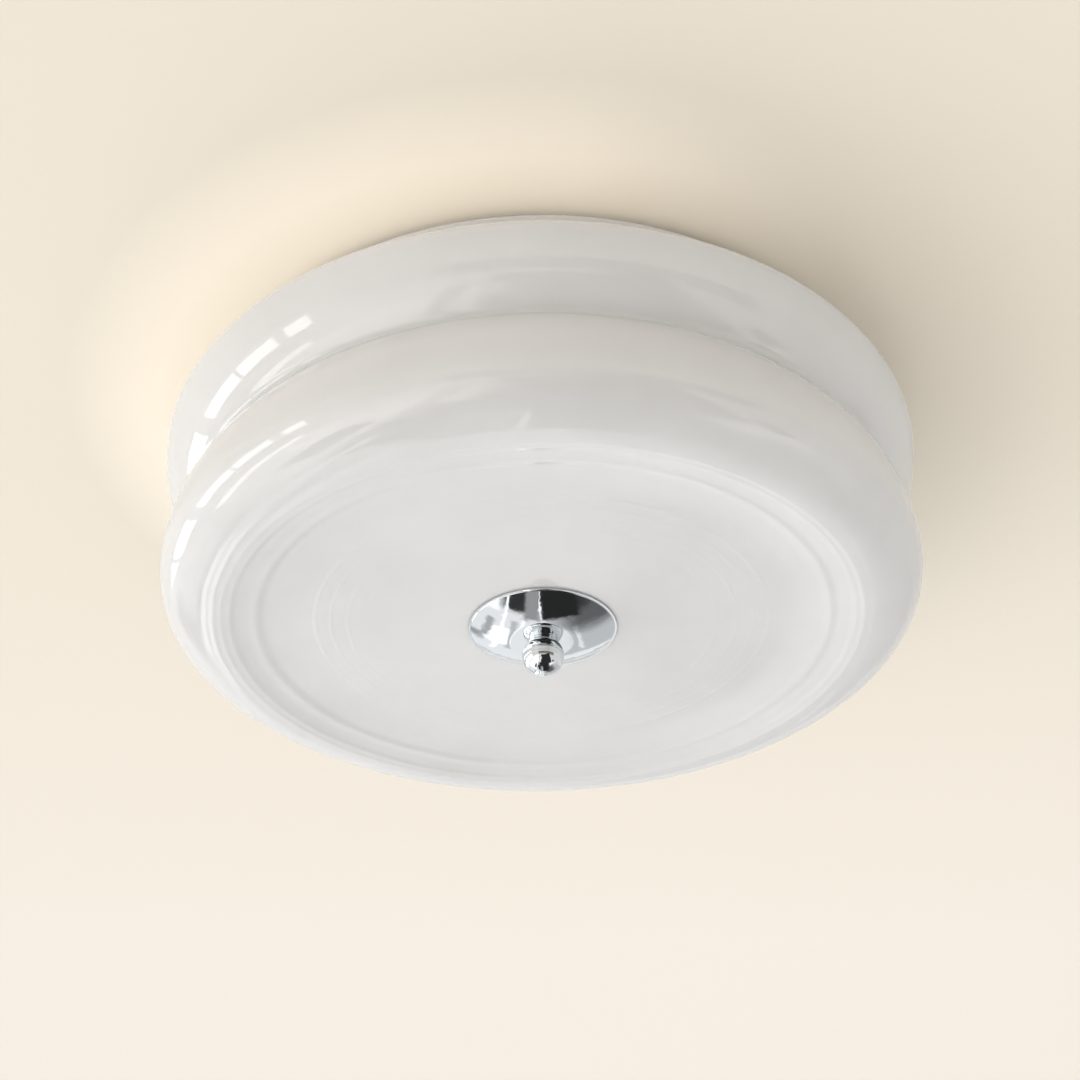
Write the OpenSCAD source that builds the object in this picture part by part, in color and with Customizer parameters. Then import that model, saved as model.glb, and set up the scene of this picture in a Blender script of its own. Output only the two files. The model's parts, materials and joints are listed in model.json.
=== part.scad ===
// Flush ceiling light: a two-bellied opal glass shade hung under a pressed steel pan
// by one threaded tube, a chromed dish and a ball finial, with three screw-in bulbs inside.
// Millimetres. The origin is the middle of the face that lies on the ceiling, +Z is up,
// and every depth below is counted downwards from the ceiling.

/* [Glass shade] */
// Outer diameter of the upper belly
upper_belly_d = 408; // [380:1:430]
// Depth of the upper belly's widest ring
upper_belly_depth = 38.5; // [36:0.5:40]
// How far the shoulder above the upper belly draws in
shoulder_in = 18; // [14:1:20]
// Height of the shoulder above the upper belly
shoulder_rise = 14; // [12:1:17]
// How far the neck round the pan lies inside the upper belly
neck_in = 27; // [25:0.5:32]
// Gap between the ceiling and the rim of the neck
neck_gap = 3; // [2:0.5:5]
// How far the waist between the two bellies lies inside the upper belly
waist_in = 19; // [15:0.5:21]
// Depth of the waist
waist_depth = 73.5; // [71:0.5:77]
// How far the lower belly lies inside the upper belly
lower_belly_in = 4; // [0:0.5:7]
// Depth of the lower belly's widest ring
lower_belly_depth = 113; // [109:0.5:115]
// How far the underside draws in from the lower belly to the lowest ring
underside_in = 32; // [28:1:36]
// Depth of the lowest ring of the glass
glass_depth = 136; // [135:0.5:142]
// Rise of the bottom face above the lowest ring
bottom_recess = 6; // [4.5:0.5:7.5]
// Thickness of the glass
glass_wall = 3.2; // [2.6:0.1:4]
// Diameter of the hole for the tube in the bottom face
glass_hole_d = 13; // [12:0.5:16]

/* [Dish and ball] */
// Diameter of the chromed dish
dish_d = 76; // [68:1:84]
// Height of the dish from the glass to its flat middle
dish_h = 9; // [7:0.5:12]
// Height of the upright lip round the dish
dish_lip = 1.3; // [0.8:0.1:2]
// Diameter of the flat middle of the dish
dish_flat_d = 33; // [28:1:38]
// Thickness of the dish's metal
dish_wall = 1; // [0.7:0.1:1.4]
// Diameter of the ball
ball_d = 22; // [20:0.5:26]
// Diameter of the ball's short neck
ball_neck_d = 16; // [14:0.5:18]
// Distance from the dish to the middle of the ball
ball_drop = 8.6; // [8:0.1:10]
// Depth of the thread in the ball
ball_thread = 9; // [8:0.5:11]
// Width of the rubber ring under the dish's rim
rim_ring_w = 4; // [3:0.5:6]

/* [Tube and fasteners] */
// Outer diameter of the threaded tube
tube_d = 10; // [9.5:0.5:10]
// Bore of the threaded tube
tube_bore_d = 7; // [5:0.5:7.5]
// Depth of the tube's upper end
tube_top_depth = 9; // [6:0.5:11]
// Width across flats of the tube's nuts
tube_nut_af = 17; // [14:1:19]
// Thickness of the tube's nuts
tube_nut_h = 4.5; // [3:0.5:5]
// Diameter of the tube's washers
tube_washer_d = 26; // [22:1:30]
// Thickness of every washer
washer_h = 1; // [0.8:0.1:1.2]
// Diameter of the washer and gasket above the glass
stop_washer_d = 28; // [24:1:34]
// Thickness of the gasket above the glass
gasket_h = 1.5; // [1:0.1:2]
// Diameter of the studs that carry the pan
stud_d = 4; // [3:0.5:5]
// Width across flats of the cap nuts
cap_nut_af = 7; // [7:0.5:9]
// Height of the cap nuts
cap_nut_h = 8; // [7:0.5:10]
// Diameter of the washers under the cap nuts
cap_washer_d = 12; // [10:1:14]

/* [Pan and ceiling bracket] */
// Gap between the pan's flange and the inside of the neck
pan_gap = 6; // [5:0.5:9]
// Depth of the pan from the ceiling to the top of its plate
pan_depth = 20; // [19:0.5:23]
// Width of the flange on the ceiling
pan_flange_w = 5; // [4:0.5:7]
// How far the pan's wall leans in
pan_lean = 5; // [3:0.5:8]
// Thickness of the pan's steel
pan_wall = 1.2; // [0.8:0.1:1.5]
// How far the middle of the stiffening bead lies inside the pan's edge
bead_in = 24; // [22:1:28]
// Width of the bead at the plate
bead_w = 12; // [9:1:14]
// Height of the bead
bead_h = 2.5; // [1.5:0.5:3]
// Length of the ceiling bracket
bracket_l = 160; // [150:1:176]
// Width of the ceiling bracket
bracket_w = 22; // [18:1:24]
// Thickness of the ceiling bracket
bracket_t = 2; // [1.5:0.1:2.5]
// Distance from a stud to the bracket's end
stud_inset = 10; // [8:0.5:12]
// Length of the bracket's two flat ends, under which the pan hangs
bracket_end_l = 19; // [17:0.5:21]
// Distance between the middles of the two screw slots
slot_spacing = 60; // [56:1:66]
// Length of a screw slot from end to end
slot_l = 16; // [12:1:20]
// Width of a screw slot
slot_w = 5; // [4:0.5:6]
// Diameter of the cable hole in the grommet
grommet_bore_d = 10; // [8:0.5:11]
// Diameter of the grommet's flanges
grommet_d = 20; // [18:0.5:22]

/* [Lampholders and bulbs] */
// Depth of the axis of the lampholders and bulbs
lamp_axis_depth = 62; // [59:0.5:64]
// Distance from the tube's axis to the bulbs' end contacts
contact_radius = 67; // [64:0.5:68]
// Outer diameter of a lampholder's skirt
holder_d = 40; // [38:0.5:42]
// Outer diameter of a lampholder's rear part
holder_rear_d = 34; // [33:0.5:36]
// Depth of a lampholder's socket, from its mouth to the end contact
socket_depth = 24; // [22:0.5:26]
// Thickness of the insulation behind the end contact
holder_back = 12; // [11:0.5:14]
// Thickness of the threaded metal shell in the socket
shell_wall = 0.8; // [0.5:0.1:1]
// Width of a lampholder's steel bracket
holder_bracket_w = 30; // [26:1:32]
// Thickness of a lampholder's steel bracket
holder_bracket_t = 1.5; // [1.2:0.1:2]
// Length of the bracket's foot on the pan
holder_foot_l = 20; // [18:1:24]
// Diameter of the nipple behind a lampholder
nipple_d = 10; // [9:0.5:10]
// Bore of the nipple, for the leads
nipple_bore_d = 6.4; // [5.8:0.1:7]
// Width across flats of the nipple's nut
nipple_nut_af = 14; // [13:1:17]
// Diameter of a bulb's screw cap
cap_d = 26.4; // [26:0.1:26.8]
// Length of a bulb's screw cap
cap_l = 22; // [20:0.5:23]
// Diameter of a bulb's globe
globe_d = 45; // [40:1:47]
// Whole length of a bulb
bulb_l = 78; // [74:1:78]
// Thickness of a globe's wall
globe_wall = 1.2; // [0.8:0.1:1.6]

/* [Terminals and leads] */
// Distance from the tube's axis to the middle of the terminal block
block_y = 92; // [90:1:96]
// Distance between the poles of the terminal block
pole_pitch = 12; // [11:0.5:13]
// Width of the terminal block, along its poles' bores
block_w = 18; // [16:0.5:20]
// Height of the terminal block
block_h = 15; // [14:0.5:17]
// Outer diameter of a pole's brass tube
pole_tube_d = 6.4; // [6:0.1:6.8]
// Bore of a pole's brass tube
pole_bore_d = 4.8; // [4.6:0.1:5]
// Diameter of a lead over its insulation
lead_d = 1.5; // [1.2:0.1:1.7]

/* [Hidden] */
$fn = 72;

// Clearances between pieces
thread_gap = 0.08;
slip_gap = 0.2;
screw_gap = 0.3;

// Glass: arcs of the two bellies and the blends between them
shoulder_corner = 5;
upper_sweep = 56;
lower_sweep = 50;
waist_blend = 4;
rim_roll = 6;
rim_roll_sweep = 34;
rim_blend_w = 16;
upper_belly_r = upper_belly_d / 2;
neck_r = upper_belly_r - neck_in;
face_depth = glass_depth - bottom_recess;

// Dish, ball and the lower end of the tube
dish_r = dish_d / 2;
dish_flat_r = dish_flat_d / 2;
dish_depth = face_depth + dish_h;
dish_fillet_w = 3.5;
ball_depth = dish_depth + ball_drop;
tube_end_gap = 1.5;
tube_r = tube_d / 2;
tube_end_depth = dish_depth + ball_thread - tube_end_gap;

// Pan, bracket and studs
plate_depth = pan_depth + pan_wall;
pan_r = neck_r - glass_wall - pan_gap;
pan_corner = 3;
bend_l = 8;
stud_x = bracket_l / 2 - stud_inset;
stud_r = stud_d / 2;
stud_head_h = 2.4;
stud_head_over = 1.6;
stud_end_gap = 1.5;
stud_top = pan_depth - bracket_t;
cap_washer_depth = plate_depth + washer_h;
cap_dome_h = 4;
cap_dome_step = 0.15;
cap_hex_bottom = cap_washer_depth + cap_nut_h - cap_dome_h;
grommet_at = [34, -98];
grommet_lip = 2;
grommet_chamfer = 1;
grommet_r = grommet_d / 2;
grommet_groove_r = grommet_r - 2;

// Stack of nut, washer and gasket above the glass
gasket_depth = face_depth - glass_wall;
stop_washer_depth = gasket_depth - gasket_h;
stop_nut_depth = stop_washer_depth - washer_h;

// Lampholders: lengths along the bulb's axis, counted outwards from its end contact
holder_angles = [90, 210, 330];
contact_gap = 0.2;
contact_h = 1.8;
socket_floor = -contact_gap - contact_h;
holder_rear = socket_floor - holder_back;
bracket_rear = holder_rear - holder_bracket_t;
nipple_grip = 5;
nipple_seat = holder_rear + nipple_grip;
nipple_nut_h = 4;
nipple_tail = 2;
nipple_end = bracket_rear - nipple_nut_h - nipple_tail;
nipple_r = nipple_d / 2;
nipple_shoulder = 2;
holder_contact_r = 4.5;
holder_contact_sheet = 0.6;
shell_r = cap_d / 2 + slip_gap;
socket_r = shell_r + shell_wall;
shell_recess = 3;
holder_step = 4;
holder_slope_l = 3;
holder_chamfer = 2;
skirt_edge = 1.5;
mouth_chamfer = 1;
foot_depth = plate_depth + holder_bracket_t;
rivet_r = 1.6;
rivet_head_r = 3;
rivet_head_h = 1.2;
rivet_chamfer = 0.6;
rivet_side = 9;
rivet_from_bend = 11;

// Bulb: lengths along its axis from the end contact
bulb_contact_r = 5;
bulb_contact_h = 1.4;
cap_start = 4;
cap_wall = 0.8;
cap_chamfer = 1;
cap_draw = 0.3;
stem_r = cap_d / 2 - cap_wall;
stem_chamfer = 1.5;
body_rim = 0.4;
cap_end = cap_start + cap_l;
globe_r = globe_d / 2;
globe_centre = bulb_l - globe_r;
globe_cut = 11.5;
globe_cut_r = sqrt(globe_r * globe_r - globe_cut * globe_cut);

// Terminal block and earth connection
block_bottom = plate_depth + block_h;
pole_depth = plate_depth + block_h / 2;
pole_tube_inset = 1;
pole_screw_r = 1.8;
pole_screw_recess = 1;
block_side = 1;
block_base_h = 2;
block_waist_r = 1.6;
block_screw_r = 1.4;
block_screw_end = 1.5;
block_head_over = 1.2;
block_head_h = 1.6;
small_slot_w = 0.8;
small_slot_deep = 0.8;
earth_at = [-34, -92];
earth_nut_h = 3.2;
earth_screw_end = 5;
earth_head_r = stud_r + 1.8;
earth_head_h = 2.6;
earth_head_edge = 1;
earth_slot_w = 1;
earth_slot_deep = 1.2;
tag_r = 5;
tag_t = 0.8;
tag_neck_w = 3.2;
tag_neck_l = 4;
tag_barrel_l = 8;
tag_barrel_wall = 0.8;

// Routes of the leads: points by hand, as [x, y, depth], for a lead from the live pole
lead_far = [[-14, -56, 26], [-15, -20, 26], [-11, 16, 38]];
lead_near = [[-16, -62, 28], [-20, -42, 38]];
lead_across = [[-5, -64, 32], [8, -46, 38]];
lead_across_drop = 5;
lead_grip = 4;
lead_rings = 2;
lead_sides = 8;
lead_r = lead_d / 2;

// Points of an elliptic arc as [radius, depth]: 0 degrees points outwards, 90 downwards
function arc(centre, size, from, to, steps) = [
    for (i = [0 : steps])
        let (a = from + (to - from) * i / steps)
            [centre[0] + size[0] * cos(a), centre[1] + size[1] * sin(a)]
];

// Points of a blend that leaves a towards b and arrives at c
function blend(a, b, c, steps) = [
    for (i = [0 : steps])
        let (t = i / steps) (1 - t) * (1 - t) * a + 2 * t * (1 - t) * b + t * t * c
];

function reversed(list) = [for (i = [len(list) - 1 : -1 : 0]) list[i]];

function unit(v) = v / norm(v);

// Direction from the outside of a profile to its inside
function inside(p, q) = let (t = unit(q - p)) [-t[1], t[0]];

// The same profile, moved towards its inside by one wall thickness
function inset(points, wall) = [
    for (i = [0 : len(points) - 1])
        let (
            last = len(points) - 1,
            before = inside(points[max(i - 1, 0)], points[max(i, 1)]),
            after = inside(points[min(i, last - 1)], points[min(i + 1, last)]),
            middle = unit(before + after)
        )
            points[i] + middle * wall / (middle * before)
];

module down(depth) {
    translate([0, 0, -depth]) children();
}

// Solid of revolution from points given as [radius, depth]
module revolve(points) {
    rotate_extrude() polygon([for (p = points) [p[0], -p[1]]]);
}

// Shell of revolution: its outer profile and its wall
module revolve_shell(points, wall) {
    revolve(concat(points, reversed(inset(points, wall))));
}

// Disc or round hole between two depths
module disc(r, top, bottom) {
    down(bottom) cylinder(r = r, h = bottom - top);
}

module washer(r_out, r_in, top, bottom) {
    difference() {
        disc(r_out, top, bottom);
        disc(r_in, top - 1, bottom + 1);
    }
}

module hex_nut(across_flats, bore_r, top, bottom) {
    difference() {
        down(bottom) cylinder(r = across_flats / 2 / cos(30), h = bottom - top, $fn = 6);
        disc(bore_r, top - 1, bottom + 1);
    }
}

module at_studs() {
    for (side = [-1, 1]) translate([side * stud_x, 0, 0]) children();
}

// Places children at each lampholder's side of the pan, with +X outwards
module at_holders() {
    for (angle = holder_angles) rotate([0, 0, angle]) children();
}

// Turns a child built along +Z from the end contact onto the axis of one lampholder
module on_lamp_axis() {
    translate([contact_radius, 0, -lamp_axis_depth]) rotate([0, 90, 0]) children();
}

// Solid of revolution on a lamp axis from points given as [radius, distance outwards]
module turned(points) {
    rotate_extrude() polygon(points);
}

// Slot with round ends through the middle of the strap
module screw_slot() {
    flat = slot_l / 2 - slot_w / 2;
    for (end = [-flat, flat]) translate([end, 0, 0]) disc(slot_w / 2, -1, bracket_t + 1);
    translate([-flat, -slot_w / 2, -bracket_t - 1]) cube([2 * flat, slot_w, bracket_t + 2]);
}

// Strap with its middle on the ceiling and its ends stepped down to the pan's plate
module ceiling_bracket() {
    half = bracket_l / 2;
    bend = half - bracket_end_l;
    middle = bend - bend_l;
    right = [
        [middle, 0], [bend, -stud_top], [half, -stud_top], [half, -pan_depth],
        [bend - bracket_t, -pan_depth], [middle - bracket_t, -bracket_t]
    ];
    outline = concat(right, [for (p = reversed(right)) [-p[0], p[1]]]);
    color("silver") difference() {
        translate([0, bracket_w / 2, 0]) rotate([90, 0, 0])
            linear_extrude(bracket_w) polygon(outline);
        for (side = [-1, 1]) translate([side * slot_spacing / 2, 0, 0]) screw_slot();
        at_studs() disc(stud_r, stud_top - 1, pan_depth + 1);
    }
}

// Studs pressed into the strap's ends, with their heads above
module bracket_studs() {
    color("silver") at_studs() {
        disc(stud_r, stud_top, cap_hex_bottom + stud_end_gap);
        disc(stud_r + stud_head_over, stud_top - stud_head_h, stud_top);
    }
}

// Pressed pan: flange on the ceiling, leaning wall, flat plate with a stiffening bead
module base_pan() {
    flange_in = pan_r - pan_flange_w;
    wall_foot = flange_in - pan_lean;
    bead_out = pan_r - bead_in + bead_w / 2;
    profile = concat(
        [[pan_r, pan_wall], [flange_in, pan_wall]],
        blend([wall_foot, plate_depth - pan_corner], [wall_foot, plate_depth],
            [wall_foot - pan_corner, plate_depth], 4),
        [
            [bead_out, plate_depth], [bead_out - bead_h, plate_depth - bead_h],
            [bead_out - bead_w + bead_h, plate_depth - bead_h], [bead_out - bead_w, plate_depth],
            [tube_r + screw_gap, plate_depth]
        ]
    );
    top = pan_depth - 1;
    bottom = plate_depth + 1;
    color("white") difference() {
        revolve_shell(profile, pan_wall);
        at_studs() disc(stud_r + screw_gap, top, bottom);
        translate(grommet_at) disc(grommet_groove_r, top, bottom);
        translate(earth_at) disc(stud_r + slip_gap, top, bottom);
        at_block_screws() disc(block_screw_r, top, bottom);
        at_holders() at_rivets() disc(rivet_r, top, bottom);
    }
}

module cap_washers() {
    color("silver") at_studs()
        washer(cap_washer_d / 2, stud_r + slip_gap, plate_depth, cap_washer_depth);
}

module cap_nuts() {
    dome = [cap_nut_af / 2 - cap_dome_step, cap_dome_h];
    color("silver") at_studs() difference() {
        union() {
            hex_nut(cap_nut_af, 0, cap_washer_depth, cap_hex_bottom);
            revolve(concat([[0, cap_hex_bottom]], arc([0, cap_hex_bottom], dome, 0, 90, 8)));
        }
        disc(stud_r + thread_gap, cap_washer_depth - 1, cap_hex_bottom + stud_end_gap + slip_gap);
    }
}

// Rubber grommet, grooved to grip the edge of the pan's cable hole
module cable_grommet() {
    bore_r = grommet_bore_d / 2;
    face_r = grommet_r - grommet_chamfer;
    color("dimgray") translate(grommet_at) revolve([
        [bore_r, pan_depth - grommet_lip], [face_r, pan_depth - grommet_lip],
        [grommet_r, pan_depth], [grommet_groove_r, pan_depth],
        [grommet_groove_r, plate_depth], [grommet_r, plate_depth],
        [face_r, plate_depth + grommet_lip], [bore_r, plate_depth + grommet_lip]
    ]);
}

module centre_tube() {
    color("silver") washer(tube_r, tube_bore_d / 2, tube_top_depth, tube_end_depth);
}

// Washers and nuts that clamp the pan's plate from both sides
module tube_washers() {
    color("silver") {
        washer(tube_washer_d / 2, tube_r + slip_gap, pan_depth - washer_h, pan_depth);
        washer(tube_washer_d / 2, tube_r + slip_gap, plate_depth, plate_depth + washer_h);
    }
}

module tube_nuts() {
    upper = pan_depth - washer_h;
    lower = plate_depth + washer_h;
    color("silver") {
        hex_nut(tube_nut_af, tube_r + thread_gap, upper - tube_nut_h, upper);
        hex_nut(tube_nut_af, tube_r + thread_gap, lower, lower + tube_nut_h);
    }
}

// Places of the two rivets in a holder bracket's foot
module at_rivets() {
    for (side = [-1, 1])
        translate([contact_radius + bracket_rear + rivet_from_bend, side * rivet_side, 0]) children();
}

// Angle brackets: a foot under the pan and a round-ended upright behind each lampholder
module holder_brackets() {
    half = holder_bracket_w / 2;
    color("gainsboro") at_holders() difference() {
        union() {
            translate([contact_radius + bracket_rear, -half, -foot_depth])
                cube([holder_foot_l, holder_bracket_w, holder_bracket_t]);
            translate([contact_radius + bracket_rear, -half, -lamp_axis_depth])
                cube([holder_bracket_t, holder_bracket_w, lamp_axis_depth - plate_depth]);
            on_lamp_axis() translate([0, 0, bracket_rear]) cylinder(r = half, h = holder_bracket_t);
        }
        on_lamp_axis() translate([0, 0, bracket_rear - 1])
            cylinder(r = nipple_r + slip_gap, h = holder_bracket_t + 2);
        at_rivets() disc(rivet_r, plate_depth - 1, foot_depth + 1);
    }
}

module bracket_rivets() {
    color("silver") at_holders() at_rivets() revolve(concat(
        [
            [0, pan_depth - rivet_head_h], [rivet_head_r - rivet_chamfer, pan_depth - rivet_head_h],
            [rivet_head_r, pan_depth], [rivet_r, pan_depth], [rivet_r, foot_depth]
        ],
        arc([0, foot_depth], [rivet_head_r, rivet_head_h], 0, 90, 6)
    ));
}

// Porcelain lampholders: a stepped cup with a threaded hole in its back
module lampholder_bodies() {
    rear_r = holder_rear_d / 2;
    skirt_r = holder_d / 2;
    bore_r = nipple_r + thread_gap;
    inner_r = nipple_r - nipple_shoulder;
    color("whitesmoke") at_holders() on_lamp_axis() turned([
        [bore_r, holder_rear], [rear_r - holder_chamfer, holder_rear],
        [rear_r, holder_rear + holder_chamfer], [rear_r, holder_step - holder_slope_l],
        [skirt_r, holder_step], [skirt_r, socket_depth - skirt_edge],
        [skirt_r - skirt_edge, socket_depth], [socket_r + mouth_chamfer, socket_depth],
        [socket_r, socket_depth - mouth_chamfer], [socket_r, socket_floor],
        [inner_r, socket_floor], [inner_r, nipple_seat], [bore_r, nipple_seat]
    ]);
}

module lampholder_shells() {
    shell_end = socket_depth - shell_recess;
    color("goldenrod") at_holders() on_lamp_axis() turned([
        [shell_r, socket_floor], [socket_r, socket_floor], [socket_r, shell_end], [shell_r, shell_end]
    ]);
}

// Sprung centre contacts on the socket's floor
module lampholder_contacts() {
    flange_r = holder_contact_r + 1;
    flange_top = socket_floor + holder_contact_sheet;
    color("goldenrod") at_holders() on_lamp_axis() turned([
        [0, socket_floor], [flange_r, socket_floor], [flange_r, flange_top],
        [holder_contact_r, flange_top], [holder_contact_r - 1, -contact_gap], [0, -contact_gap]
    ]);
}

module lampholder_nipples() {
    color("silver") at_holders() on_lamp_axis() difference() {
        translate([0, 0, nipple_end]) cylinder(r = nipple_r, h = nipple_seat - nipple_end);
        translate([0, 0, nipple_end - 1])
            cylinder(r = nipple_bore_d / 2, h = nipple_seat - nipple_end + 2);
    }
}

module lampholder_nuts() {
    color("silver") at_holders() on_lamp_axis() translate([0, 0, bracket_rear])
        hex_nut(nipple_nut_af, nipple_r + thread_gap, 0, nipple_nut_h);
}

// Places of the three poles: live, earth and neutral
module at_poles() {
    for (pole = [-1 : 1]) translate([pole * pole_pitch, -block_y, -pole_depth]) children();
}

// A round bar along the bore of a pole
module pole_bar(r, l) {
    rotate([90, 0, 0]) cylinder(r = r, h = l, center = true);
}

module at_block_screws() {
    for (side = [-1, 1]) translate([side * pole_pitch / 2, -block_y, 0]) children();
}

// Three-pole terminal block: bores for the brass tubes, wells for the clamp screws
module terminal_block() {
    block_l = 3 * pole_pitch + 2 * block_side;
    color("ivory") difference() {
        translate([-block_l / 2, -block_y - block_w / 2, -block_bottom])
            cube([block_l, block_w, block_h]);
        at_poles() pole_bar(pole_tube_d / 2 + thread_gap, block_w + 2);
        at_poles() disc(pole_screw_r + screw_gap, 0, block_h);
        at_block_screws() {
            disc(block_screw_r + slip_gap, plate_depth - 1, block_bottom + 1);
            for (end = [-1, 1]) translate([0, end * block_w / 2, 0])
                disc(block_waist_r, plate_depth + block_base_h, block_bottom + 1);
        }
    }
}

module terminal_tubes() {
    color("goldenrod") at_poles() difference() {
        pole_bar(pole_tube_d / 2, block_w - 2 * pole_tube_inset);
        pole_bar(pole_bore_d / 2, block_w);
        disc(pole_screw_r + thread_gap, 0, pole_tube_d);
    }
}

// Cut for a driver across a screw head whose face lies at a depth
module driver_slot(head_r, width, deep, face) {
    translate([-head_r - 1, -width / 2, -face - 1]) cube([2 * head_r + 2, width, deep + 1]);
}

// Clamp screws: their tips just reach the leads in the poles
module terminal_screws() {
    tip = pole_bore_d / 2 - slip_gap;
    face = block_h / 2 - pole_screw_recess;
    color("goldenrod") at_poles() difference() {
        disc(pole_screw_r, tip, face);
        driver_slot(pole_screw_r, small_slot_w, small_slot_deep, face);
    }
}

module block_screws() {
    head_r = block_screw_r + block_head_over;
    face = block_bottom + block_head_h;
    color("silver") at_block_screws() difference() {
        union() {
            disc(block_screw_r, pan_depth - block_screw_end, block_bottom);
            disc(head_r, block_bottom, face);
        }
        driver_slot(head_r, small_slot_w, small_slot_deep, face);
    }
}

// Places a bar along Y in the barrel of the earth tag, from a distance in front of the ring
module in_barrel(distance, r) {
    translate([0, -tag_r - distance, -plate_depth - lead_r - tag_barrel_wall]) rotate([90, 0, 0])
        cylinder(r = r, h = tag_barrel_l);
}

// Ring tag under the earth screw, with a barrel crimped on the lead
module earth_tag() {
    ring_bottom = plate_depth + tag_t;
    color("silver") translate(earth_at) difference() {
        union() {
            disc(tag_r, plate_depth, ring_bottom);
            translate([-tag_neck_w / 2, -tag_r - 2, -ring_bottom]) cube([tag_neck_w, tag_neck_l, tag_t]);
            in_barrel(1, lead_r + tag_barrel_wall);
        }
        disc(stud_r + slip_gap, plate_depth - 1, ring_bottom + 1);
        in_barrel(3, lead_r + thread_gap);
    }
}

module earth_screw() {
    head_top = plate_depth + tag_t;
    face = head_top + earth_head_h;
    dome = [earth_head_r - stud_r, earth_head_h - earth_head_edge];
    color("silver") translate(earth_at) difference() {
        union() {
            disc(stud_r, pan_depth - earth_screw_end, head_top);
            revolve(concat([[0, head_top], [earth_head_r, head_top]],
                arc([stud_r, head_top + earth_head_edge], dome, 0, 90, 5), [[0, face]]));
        }
        driver_slot(earth_head_r, earth_slot_w, earth_slot_deep, face);
    }
}

module earth_nut() {
    color("silver") translate(earth_at)
        hex_nut(cap_nut_af, stud_r + thread_gap, pan_depth - earth_nut_h, pan_depth);
}

// Smooth curve through a route's points
function curve(a, b, c, d, t) =
    0.5 * (2 * b + (c - a) * t + (2 * a - 5 * b + 4 * c - d) * t * t + (3 * b - a - 3 * c + d) * t * t * t);

function smooth(points) = let (last = len(points) - 1) concat(
    [for (i = [0 : last - 1], k = [0 : lead_rings - 1])
        curve(points[max(i - 1, 0)], points[i], points[i + 1], points[min(i + 2, last)], k / lead_rings)],
    [points[last]]
);

// One sideways direction for each ring, carried along so that the tube doesn't twist
function sideways(along, from, i = 0) = i == len(along) ? [] :
    let (side = unit(from - (from * along[i]) * along[i])) concat([side], sideways(along, side, i + 1));

// Round lead swept along a route
module lead(route) {
    path = smooth(route);
    last = len(path) - 1;
    along = [for (i = [0 : last]) unit(path[min(i + 1, last)] - path[max(i - 1, 0)])];
    side = sideways(along, [0.3, 0.2, 0.9]);
    points = [
        for (i = [0 : last], k = [0 : lead_sides - 1])
            let (a = 360 * k / lead_sides, up = cross(along[i], side[i]))
                path[i] + lead_r * (cos(a) * side[i] + sin(a) * up)
    ];
    walls = [
        for (i = [0 : last - 1], k = [0 : lead_sides - 1], half = [0, 1])
            let (
                a = i * lead_sides + k,
                b = i * lead_sides + (k + 1) % lead_sides
            )
                half == 0 ? [a, a + lead_sides, b] : [b, a + lead_sides, b + lead_sides]
    ];
    ends = [
        for (k = [1 : lead_sides - 2], end = [0, 1])
            let (base = end * last * lead_sides)
                end == 0 ? [base, base + k, base + k + 1] : [base, base + k + 1, base + k]
    ];
    polyhedron(points, concat(walls, ends));
}

// Where a lead leaves its pole: three leads share one pole, side by side
function pole_start(pole, place) =
    let (
        a = 90 + 120 * place,
        offset = (pole_bore_d / 2 - lead_r - slip_gap) * [cos(a), sin(a)],
        inner_face = -block_y + block_w / 2
    )
        [for (y = [inner_face - lead_grip, inner_face + 1])
            [pole * pole_pitch + offset[0], y, -pole_depth + offset[1]]];

// Where a lead enters a lampholder: through the nipple, on its own side of the axis
function holder_end(angle, side) =
    let (
        out = [cos(angle), sin(angle), 0],
        across = [-sin(angle), cos(angle), 0] * side * (nipple_bore_d / 4 - slip_gap / 4)
    )
        [for (u = [nipple_end - 7, nipple_end, nipple_seat - slip_gap])
            (contact_radius + u) * out + across + [0, 0, -lamp_axis_depth]];

// Route points by hand, mirrored for the other pole
function hand_points(points, mirrored, drop) =
    [for (p = points) [mirrored * p[0], p[1], -p[2] - drop]];

// The three leads of one pole: mirrored is 1 for live at -X, -1 for neutral at +X
module pole_leads(mirrored) {
    drop = mirrored == 1 ? 0 : lead_across_drop;
    near = mirrored == 1 ? 210 : 330;
    far = mirrored == 1 ? 330 : 210;
    lead(concat(pole_start(-mirrored, 0), hand_points(lead_far, mirrored, 0), holder_end(90, mirrored)));
    lead(concat(pole_start(-mirrored, mirrored), hand_points(lead_near, mirrored, 0),
        holder_end(near, -mirrored)));
    lead(concat(pole_start(-mirrored, -mirrored), hand_points(lead_across, mirrored, drop),
        holder_end(far, -mirrored)));
}

module live_leads() {
    color("saddlebrown") pole_leads(1);
}

module neutral_leads() {
    color("royalblue") pole_leads(-1);
}

// Earth lead from the outer side of its pole round to the tag on the pan
module earth_lead() {
    outer_face = -block_y - block_w / 2;
    barrel = [earth_at[0], earth_at[1] - tag_r - 1 - tag_barrel_l, -plate_depth - lead_r - tag_barrel_wall];
    color("limegreen") lead([
        [0, outer_face + lead_grip, -pole_depth], [0, outer_face - 2, -pole_depth],
        [-8, outer_face - 14, -pole_depth + 2], barrel + [10, -12, -1],
        barrel + [0, -6, 0], barrel + [0, -1, 0], barrel + [0, 5, 0]
    ]);
}

module stop_nut() {
    color("silver")
        hex_nut(tube_nut_af, tube_r + thread_gap, stop_nut_depth - tube_nut_h, stop_nut_depth);
}

module stop_washer() {
    color("silver") washer(stop_washer_d / 2, tube_r + slip_gap, stop_nut_depth, stop_washer_depth);
}

module inner_gasket() {
    color("lightgray") washer(stop_washer_d / 2, tube_r + slip_gap, stop_washer_depth, gasket_depth);
}

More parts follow.
